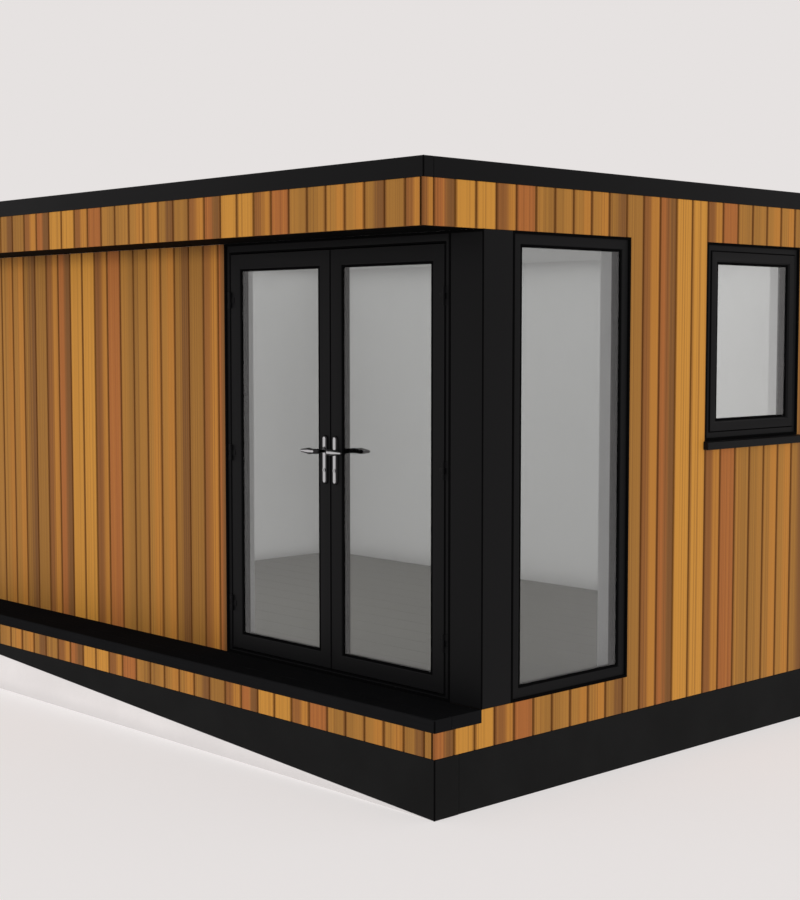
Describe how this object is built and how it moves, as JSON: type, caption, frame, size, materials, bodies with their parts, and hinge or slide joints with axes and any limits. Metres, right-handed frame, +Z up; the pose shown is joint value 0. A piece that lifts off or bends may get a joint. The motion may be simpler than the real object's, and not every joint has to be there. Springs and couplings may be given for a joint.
{
  "type": "garden room",
  "caption": "Flat-roofed timber garden room with vertical cedar boards, black corner post and trim, French doors, a canopy and deck along the front, and side windows.",
  "frame": {"origin": "middle of the footprint, on the underside of the footing", "axes": "+X right along the front, +Y to the back, +Z up"},
  "size_m": [4.533, 3.436, 2.828],
  "materials": {
    "concrete": "cast concrete",
    "plinth_black": "painted render",
    "structural_timber": "sawn",
    "deck_black": "grooved composite board",
    "floor_boards": "matt laminate plank",
    "plaster": "painted plaster",
    "frame_black": "satin powder coat",
    "cedar": "oiled vertical boards",
    "membrane": "matt sheet",
    "glass": "clear double glazing",
    "chrome": "polished"
  },
  "bodies": {
    "building": {"footing_front": "concrete", "footing_back": "concrete", "footing_left": "concrete", "plinth_front": "plinth_black", "plinth_back": "plinth_black", "plinth_left": "plinth_black", "plinth_right": "plinth_black", "base_platform": "structural_timber", "deck_back_board": "deck_black", "deck_nosing": "deck_black", "floor_finish": "floor_boards", "front_wall": "plaster", "left_wall": "plaster", "back_wall": "plaster", "right_pier": "plaster", "right_low_wall": "plaster", "right_rear_wall": "plaster", "corner_post": "frame_black", "front_cladding": "cedar", "left_cladding": "cedar", "right_cladding": "cedar", "back_cladding": "cedar", "ceiling": "plaster", "canopy_soffit": "frame_black", "roof_slab": "structural_timber", "roof_membrane": "membrane", "roof_trim": "frame_black", "door_frame": "frame_black", "frame_hinges": "frame_black", "tall_window_frame": "frame_black", "tall_window_glass": "glass", "small_window_frame": "frame_black", "small_window_glass": "glass", "window_sill": "frame_black"},
    "left_leaf": {"left_door_leaf": "frame_black", "left_door_glass": "glass", "left_leaf_hinges": "frame_black", "left_handle_plates": "chrome"},
    "right_leaf": {"right_door_leaf": "frame_black", "right_door_glass": "glass", "right_leaf_hinges": "frame_black", "right_handle_plates": "chrome"},
    "left_lever_set": {"left_lever": "chrome"},
    "right_lever_set": {"right_lever": "chrome"}
  },
  "joints": [
    {"name": "left_door_swing", "type": "hinge", "parent": "building", "child": "left_leaf", "pos_m": [0.4645, -1.354, 0.44], "axis": [0, 0, -1], "range_deg": [0, 90]},
    {"name": "right_door_swing", "type": "hinge", "parent": "building", "child": "right_leaf", "pos_m": [2.0075, -1.354, 0.44], "axis": [0, 0, 1], "range_deg": [0, 90]},
    {"name": "left_lever_turn", "type": "hinge", "parent": "left_leaf", "child": "left_lever_set", "pos_m": [1.199, -1.317, 1.525], "axis": [0, -1, 0], "range_deg": [0, 40], "stiffness_Nm_per_rad": 1, "springref_deg": -28.65},
    {"name": "right_lever_turn", "type": "hinge", "parent": "right_leaf", "child": "right_lever_set", "pos_m": [1.273, -1.317, 1.525], "axis": [0, 1, 0], "range_deg": [0, 40], "stiffness_Nm_per_rad": 1, "springref_deg": -28.65}
  ]
}
